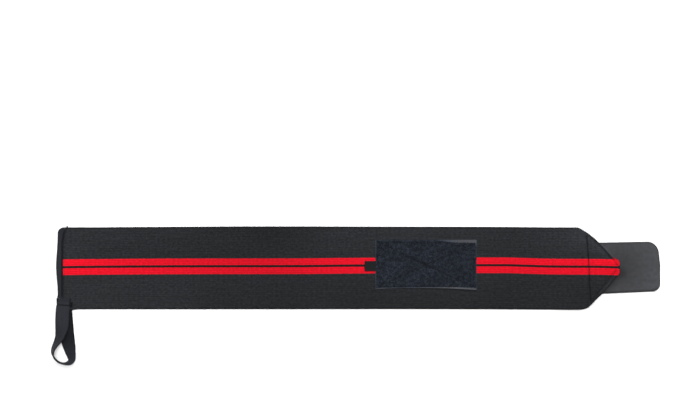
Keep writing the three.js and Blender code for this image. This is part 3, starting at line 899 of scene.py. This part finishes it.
# The patch's backing and its pile
PATCH_FOOT = BAND_THICK + 0.12
PATCH_PLAIN = 2.75  # height of the bare selvedge
PATCH_PILE = 3.2  # height of the pile's ground
PATCH_LEAST = 0.35  # least thickness in the seams
PATCH_BOX = [(20.6, 26.8), (120.0, 26.0), (120.0, -19.4), (20.6, -18.9), (20.6, 26.8)]
PATCH_SEAMS = [PATCH_BOX, PATCH_BOX[0:3:2], PATCH_BOX[3:0:-2]]
PATCH_SEAM_DEPTHS = (0.3, 0.45, 0.3)
PATCH_SEAM_SHADES = (0.08, 0.34, 0.14)
PATCH_SEAM_WIDTH = 1.1
CROSS_SHOWN = (44, 56, 76, 86)  # where the seams that cross take the most painted shade
CROSS_LEAST = 0.25  # how much of their shade shows elsewhere

# The patch's strip without pile: how wide, how ragged and how pale
BARE_ENDS = 0.45
BARE_ABOVE = (0.5, 3.2, 1.0, 78, 106)
BARE_BELOW = (0.9, 1.2, 0.5, 55, 105)
BARE_BLUR = (-0.4, 0.5)
PALE_ABOVE = (0.15, 0.8, 82, 114)
PALE_BELOW = (0.3, 0.7, 45, 115)
PALE_LEFT = (0.4, -0.4, 22, 42)
PALE_ENDS = (0, 0.5, 60, 90)
PALE_END_WIDTH = 1.2
PALE_HIGH = (12, 26)
LEAST_PALE = 0.3
PATCH_RIM = 0.3
TUFT_CELL = 2.1
TUFT_RISE = 0.35


def patch_insets(x, y):
    """How far points lie inside the nearer end, the upper and the lower edge."""
    return np.minimum(x - PATCH["left"], PATCH["right"] - x), PATCH["high"] - y, y - patch_low(x)


def patch_bare(x, y):
    """From 1 on the strip without pile to 0 inside it."""
    ends, *sides = patch_insets(x, y)
    inside = ends - BARE_ENDS
    ragged = 0.45 * np.sin(1.7 * x) + 0.35 * np.sin(2.9 * x + 1)
    for inset, (least, more, share, *span) in zip(sides, (BARE_ABOVE, BARE_BELOW)):
        inside = np.minimum(inside, inset - rising(x, least, more + share * ragged, *span))
    return 1 - ease(inside, *BARE_BLUR)


def patch_gloss(x, y):
    """How pale the bare strip is."""
    ends, above, below = patch_insets(x, y)
    sides = np.where(above < below, rising(x, *PALE_ABOVE), rising(x, *PALE_BELOW) + rising(x, *PALE_LEFT))
    at_end = ends < np.minimum(np.minimum(above, below), PALE_END_WIDTH)
    return np.where(at_end, LEAST_PALE + rising(x, *PALE_ENDS) * ease(y, *PALE_HIGH), sides)


def patch_tone(x, y):
    """Painted shade in the seams, most of all about the middle of the cross."""
    tone = 1.0
    shown = CROSS_LEAST + (1 - CROSS_LEAST) * between(x, *CROSS_SHOWN)
    for seam, shade in zip(PATCH_SEAMS, PATCH_SEAM_SHADES):
        tone = tone * (1 - shade * shown * bell(distance_to(seam, x, y), PATCH_SEAM_WIDTH))
    return tone


def patch_ground(x, y):
    height = PATCH_PILE - (PATCH_PILE - PATCH_PLAIN) * patch_bare(x, y)
    for seam, depth in zip(PATCH_SEAMS, PATCH_SEAM_DEPTHS):
        height = height - depth * bell(distance_to(seam, x, y), PATCH_SEAM_WIDTH)
    return np.maximum(height, PATCH_FOOT + PATCH_LEAST)


def patch_shape():
    x = np.linspace(PATCH["left"], PATCH["right"], 171)
    radius = np.full(len(x), PATCH_RIM)
    low = patch_low(x)[:, None] + PATCH_RIM
    y = low + (PATCH["high"] - PATCH_RIM - low) * np.linspace(0, 1, 86)
    station = np.broadcast_to(x[:, None], y.shape)
    bare = patch_bare(station, y)
    tufts = TUFT_RISE * (mottle(station, y, TUFT_CELL) - 0.5)
    top = patch_ground(station, y) + (1 - bare) * tufts
    kind = bare * (BARE_KIND + (1 - BARE_KIND) * patch_gloss(station, y))
    face = weave(station, y, kind, patch_tone(station, y))
    return solid(*slab(x, y, top, np.full(y.shape, PATCH_FOOT), radius, radius, face, face))


patch = piece("patch_backing", patch_shape(), PILE, "pile", "loop_patch")

FIBRES = 10000
FIBRE_SPANS = (0.78, 1.82)
FIBRE_HEIGHTS = (0.275, 0.6875)
FIBRE_LEAN = 0.35
FIBRE_STEPS = np.array([-0.5, -0.2, 0.2, 0.5])
FIBRE_RISES = np.array([-0.15, 0.9, 1.0, -0.05])
FIBRE_RADII = (0.1, 0.12, 0.12, 0.09)
FIBRE_INSET = 0.4  # from the patch's edges
GROWN = 0.4  # fibres grow where it is less bare


def pile_shape():
    x = random.uniform(PATCH["left"], PATCH["right"], FIBRES)
    y = random.uniform(PATCH["low"], PATCH["high"], FIBRES)
    grown = (y > patch_low(x)) & (patch_bare(x, y) < GROWN)
    x, y = x[grown, None], y[grown, None]
    turn = random.uniform(0, TAU, x.shape)
    span = random.uniform(*FIBRE_SPANS, x.shape)
    rise = random.uniform(*FIBRE_HEIGHTS, x.shape)
    lean = random.uniform(-FIBRE_LEAN, FIBRE_LEAN, x.shape) * FIBRE_RISES
    path_x = x + span * (FIBRE_STEPS * np.cos(turn) - lean * np.sin(turn))
    path_y = y + span * (FIBRE_STEPS * np.sin(turn) + lean * np.cos(turn))
    path_x = np.clip(path_x, PATCH["left"] + FIBRE_INSET, PATCH["right"] - FIBRE_INSET)
    path_y = np.clip(path_y, patch_low(path_x) + FIBRE_INSET, PATCH["high"] - FIBRE_INSET)
    path_z = patch_ground(path_x, path_y) + rise * FIBRE_RISES
    points, faces, cloth = tubes(np.stack([path_x, path_y, path_z], axis=-1), FIBRE_RADII, 3)
    x, y, _ = points.T
    return points, faces, weave(x, y, cloth[:, 1] * 0.5, patch_tone(x, y))


pile = piece("patch_pile", pile_shape(), PILE, "pile")

# The hook tab: square under the folded point, rounded at its free end
TAB_END = 313.2
TAB_MIDDLES = (-0.6, 1.6)  # at its base and at its end
TAB_WIDTHS = (53.8, 51.9)
TAB_LEAN = {"by": 1.3, "above": 2.5}
TAB_CORNERS = {"upper": 12.5, "lower": 8.0}
TAB_BACKING = 1.0  # the hooks take up the rest of the tab's thickness
CORNER_PULL = 0.45  # from a square corner, as a share of its radius
OUTLINE_STEP = 1.2


def resampled(path, spacing):
    """Evenly spaced points along a line, with its two ends."""
    path = np.asarray(path, float)
    far = lengths(path)
    at = np.linspace(0, far[-1], max(2, round(far[-1] / spacing) + 1))
    return np.stack([np.interp(at, far, column) for column in path.T], axis=1)


def corner(x, y, radius, rise, steps=14):
    """A rounded corner from one side to the other, anticlockwise."""
    pull = CORNER_PULL * radius
    handles = [(x - radius, y), (x - pull, y), (x, y + rise * pull), (x, y + rise * radius)]
    a, b, c, d = (np.array(h) for h in (handles if rise > 0 else handles[::-1]))
    t = np.linspace(0, 1, steps)[:, None]
    return a * (1 - t) ** 3 + 3 * b * t * (1 - t) ** 2 + 3 * c * t * t * (1 - t) + d * t**3


def tab_sides(x):
    """The tab's straight lower and upper edges."""
    middle, width = (np.interp(x, (TAB_BASE, TAB_END), ends) for ends in (TAB_MIDDLES, TAB_WIDTHS))
    return middle - width / 2, middle + width / 2


def tab_outline():
    (low_base, high_base), (low_end, high_end) = (tab_sides(x) for x in (TAB_BASE, TAB_END))
    lower = corner(TAB_END, low_end, TAB_CORNERS["lower"], 1)
    square = [(TAB_END, TAB_LEAN["above"])]
    upper = corner(TAB_END - TAB_LEAN["by"], high_end, TAB_CORNERS["upper"], -1)
    around = np.concatenate([[(TAB_BASE, low_base)], lower, square, upper, [(TAB_BASE, high_base)]])
    return resampled(np.concatenate([around, around[:1]]), OUTLINE_STEP)[:-1]


# Rings of the tab: how far inside its outline, how high, how much rim (-1 on the reverse) and how light
# The outer rings' tones are painted shade along the outline
TAB_PROFILE = table(
    "inset z rim tone",
    (3.2, TAB_BACKING, -1.0, 0.6), (0.5, TAB_BACKING, -1.0, 0.6), (0.12, 1.14, 0.8, 0.5),
    (0.0, 1.45, 1.0, 0.45), (0.1, 1.82, 1.0, 0.45), (0.4, 1.98, 1.0, 0.40), (0.9, 2.03, 1.0, 0.55),
    (1.5, 2.00, 0.7, 1.0), (2.2, 1.91, 0.0, 0.9), (3.2, 1.88, 0.0, 1.0),
)
LOWER_LINE = {"inset": 1.5, "half": 0.7, "reach": (2, 5), "by": 0.65}  # painted shade, along the lower edge


def tab_shape():
    outline = tab_outline()
    ahead = unit(np.roll(outline, -1, axis=0) - np.roll(outline, 1, axis=0))
    inward = np.stack([-ahead[:, 1], ahead[:, 0]], axis=1)
    low, high = tab_sides(outline[:, 0])
    rings, cloth = [], []
    for inset, z, rim, tone in zip(*TAB_PROFILE.values()):
        x, y = (outline + inset * inward).T
        # The square corners of the base stay square inside it
        x = np.maximum(x, TAB_BASE + inset)
        y = np.clip(y, low + inset, high - inset)
        # Painted shade in a line along the lower edge
        line = LOWER_LINE["by"] * bell(inset - LOWER_LINE["inset"], LOWER_LINE["half"])
        below = 1 - ease(y - low, *LOWER_LINE["reach"])
        rings.append(np.stack([x, y, np.full(len(x), z)], axis=1))
        cloth.append(weave(x, y, rim, tone * (1 - line * below)))
    return solid(np.array(rings), np.array(cloth))


tab = piece("tab_backing", tab_shape(), HOOK, "hook", "hook_tab")

HOOK_PITCH = 1.6
HOOK_TONE = 0.6
HOOK_RADII = (0.16, 0.14, 0.12, 0.11, 0.08)
HOOK_OUT = np.array([0, 0, 0.16, 0.42, 0.56])
HOOK_Z = np.array([1.1, 0.5, 0.2, 0.16, 0.42])
HOOK_FIELD = {"x": (TAB_BASE + 6, TAB_END - 2), "y": (-23.5, 25)}
HOOK_CLEAR = {"edge": 1.6, "seam": 1.0, "corner": 1.5}
HOOK_JITTER = 0.15


def hooks_shape():
    x, y = (a.ravel() for a in np.meshgrid(*(np.arange(*HOOK_FIELD[c], HOOK_PITCH) for c in "xy")))
    facing = 1 - 2 * (np.round(y / HOOK_PITCH).astype(int) % 2)
    outline = tab_outline()
    inside = distance_to(np.concatenate([outline, outline[:1]]), x, y) > HOOK_CLEAR["edge"]
    to_seam = np.minimum(distance_to(UPPER_SEAM, x, y), distance_to(LOWER_SEAM, x, y))
    radius = TAB_CORNERS["upper"]
    corner_x, corner_y = TAB_END - TAB_LEAN["by"] - radius, TAB_WIDTHS[1] / 2 - radius
    beyond = np.hypot(np.maximum(x - corner_x, 0), np.maximum(abs(y - TAB_MIDDLES[1]) - corner_y, 0))
    keep = inside & (to_seam > HOOK_CLEAR["seam"]) & (beyond < radius - HOOK_CLEAR["corner"])
    x, y, facing = x[keep], y[keep], facing[keep]
    x = x + random.uniform(-HOOK_JITTER, HOOK_JITTER, len(x))
    y = y + random.uniform(-HOOK_JITTER, HOOK_JITTER, len(y))
    path_x = x[:, None] + facing[:, None] * HOOK_OUT
    paths = np.stack(np.broadcast_arrays(path_x, y[:, None], HOOK_Z), axis=-1)
    points, faces, _ = tubes(paths, HOOK_RADII, 4)
    return points, faces, weave(points[:, 0], points[:, 1], -1, HOOK_TONE)


hooks = piece("tab_hooks", hooks_shape(), HOOK, "hook")

# Stitches: short threads that come up out of the cloth and go down into it
THREAD_RADIUS = 0.28
FOLD_THREAD_TONE = 2.2  # tone of the threads along the folds, drawn lighter than the other threads
STITCH_PITCH = 2.8
END_PITCH = 2.1
STITCH_SHARES = np.array([0.03, 0.16, 0.5, 0.84, 0.97])
STITCH_RISES = np.array([-0.30, 0.10, 0.16, 0.10, -0.30])
STITCH_RADII = THREAD_RADIUS * np.array([0.7, 1.0, 1.0, 1.0, 0.7])


def stitches(path, height, pitch=STITCH_PITCH, side=1, tone=1.0):
    """A row of stitches on one side of a face of known height."""
    holes = resampled(path, pitch)
    start, end = holes[:-1, None], holes[1:, None]
    places = start + (end - start) * STITCH_SHARES[None, :, None]
    z = height(places[..., 0], places[..., 1]) + side * STITCH_RISES
    points, faces, cloth = tubes(np.concatenate([places, z[..., None]], axis=-1), STITCH_RADII, 6)
    return points, faces, cloth * (1, 1, 1, tone)


def level(z):
    return lambda x, y: np.full(np.shape(x), z)


def sewn(name, *rows):
    return piece(name, together(*rows), THREAD, "thread")


def point_under(x, y):
    """The reverse of the tab, or of the folded corners beyond it."""
    under_tab = (x > TAB_BASE) & (abs(y - TAB_MIDDLES[0]) < TAB_WIDTHS[0] / 2)
    return np.where(under_tab, TAB_BACKING, FLAP_BASE)


def patch_seam_height(x, y):
    return patch_ground(x, y) + 0.12


point_stitches = sewn(
    "point_stitches",
    stitches(CROSS_SEAM, band_top),
    *(stitches(seam, band_top, tone=FOLD_THREAD_TONE) for seam in (UPPER_SEAM, LOWER_SEAM)),
    *(stitches(seam, point_under, side=-1) for seam in POINT_SEAMS),
)
UNDER_PATCH = 0.16  # height of the stitches on the reverse
patch_stitches = sewn(
    "patch_stitches",
    *(stitches(seam, patch_seam_height) for seam in PATCH_SEAMS),
    *(stitches(seam, level(UNDER_PATCH), side=-1) for seam in PATCH_SEAMS),
)
BINDING_TOP = BINDING_MIDDLE + BINDING_OUTSIDE
UNDER_END = 0.05
SEWN_Z = OUTER_TAPE_Z + 0.3
TURNED_Z = OUTER_TAPE_Z + 0.95
LOOP_ROW = [(-311.5, -38.0), (-298.6, -38.6)]
LOOP_EDGE_ROWS = [[(-311.0, -32.6), (-311.3, -38.0)], [(-298.8, -32.6), (-298.9, -38.6)]]
TACK_X = (-298.2, -295.8)
TACK_ROWS = np.linspace(-40.4, -35.2, 8)
TACK_PITCH = 1.8
TACK_CLIMB = (END_LIFT + BAND_THICK + 1.2, -1.0, -298.6, -297.4)
KNOT = {"place": (-301.2, 42.9, BINDING_TOP - 0.9), "size": 0.6}


def binding_face(x, y):
    return BINDING_TOP + binding_relief(x, y)[0]


def tack_face(x, y):
    """The bar tack climbs from the band on to the corner of the loop's end."""
    return rising(x, *TACK_CLIMB)


def knot(place, size):
    """A small ball of wound thread."""
    turn = np.linspace(0, TAU, 9)
    ring = np.stack([np.cos(turn), np.sin(turn), 0.25 * np.cos(3 * turn)], axis=1)
    rings = np.array([ring, ring[:, [1, 2, 0]], ring[:, [2, 0, 1]]])
    return tubes(np.array(place) + size * rings, np.full(len(turn), THREAD_RADIUS), 6)


end_stitches = sewn(
    "end_stitches",
    stitches(BINDING_SEAM, binding_face),
    stitches(BINDING_SEAM, level(UNDER_END), side=-1),
    stitches(LOOP_ROW, level(SEWN_Z), END_PITCH),
    stitches(LOOP_ROW, level(UNDER_END), END_PITCH, side=-1),
    *(stitches(row, level(TURNED_Z), END_PITCH) for row in LOOP_EDGE_ROWS),
    *(stitches([(x, y) for x in TACK_X], tack_face, TACK_PITCH) for y in TACK_ROWS),
    knot(**KNOT),
)


# Floor, light and camera
def plane(name, half, z, material):
    mesh = bpy.data.meshes.new(name)
    corners = [(x * half, y * half, z) for x, y in ((-1, -1), (1, -1), (1, 1), (-1, 1))]
    mesh.from_pydata(corners, [], [(0, 1, 2, 3)])
    mesh.materials.append(material)
    return placed(name, mesh)


def soft_light(name, place, size, power):
    lamp = bpy.data.lights.new(name, "AREA")
    lamp.shape = "DISK"
    lamp.size = size
    lamp.energy = power
    made = placed(name, lamp)
    made.location = place
    made.rotation_mode = "QUATERNION"
    made.rotation_quaternion = made.location.to_track_quat("Z", "Y")
    made.visible_camera = False


plane("floor", 3.0, -0.0004, floor_finish())
soft_light("key_light", (-0.15, 0.95, 1.25), 1.2, 19)
soft_light("top_light", (-0.05, 0.05, 2.4), 1.4, 57)
soft_light("fill_light", (0.9, -0.9, 1.7), 1.4, 6)

scene = bpy.context.scene
world = bpy.data.worlds.new("studio")
world.use_nodes = True
background = world.node_tree.nodes["Background"].inputs
background["Color"].default_value = (1, 1, 1, 1)
background["Strength"].default_value = 0.45
scene.world = world
scene.view_settings.view_transform = "Standard"

# The photograph's view, from straight above
IMAGE_WIDTH = 691
PIXELS_PER_MM = 0.964
VIEW_MIDDLE = (-13.0, 60.8)
camera = bpy.data.cameras.new("camera")
camera.lens = 135
camera.sensor_width = 36
distance = camera.lens / camera.sensor_width * IMAGE_WIDTH / PIXELS_PER_MM
scene.camera = placed("camera", camera)
scene.camera.location = [at * MM for at in (*VIEW_MIDDLE, distance)]

bpy.context.view_layer.update()
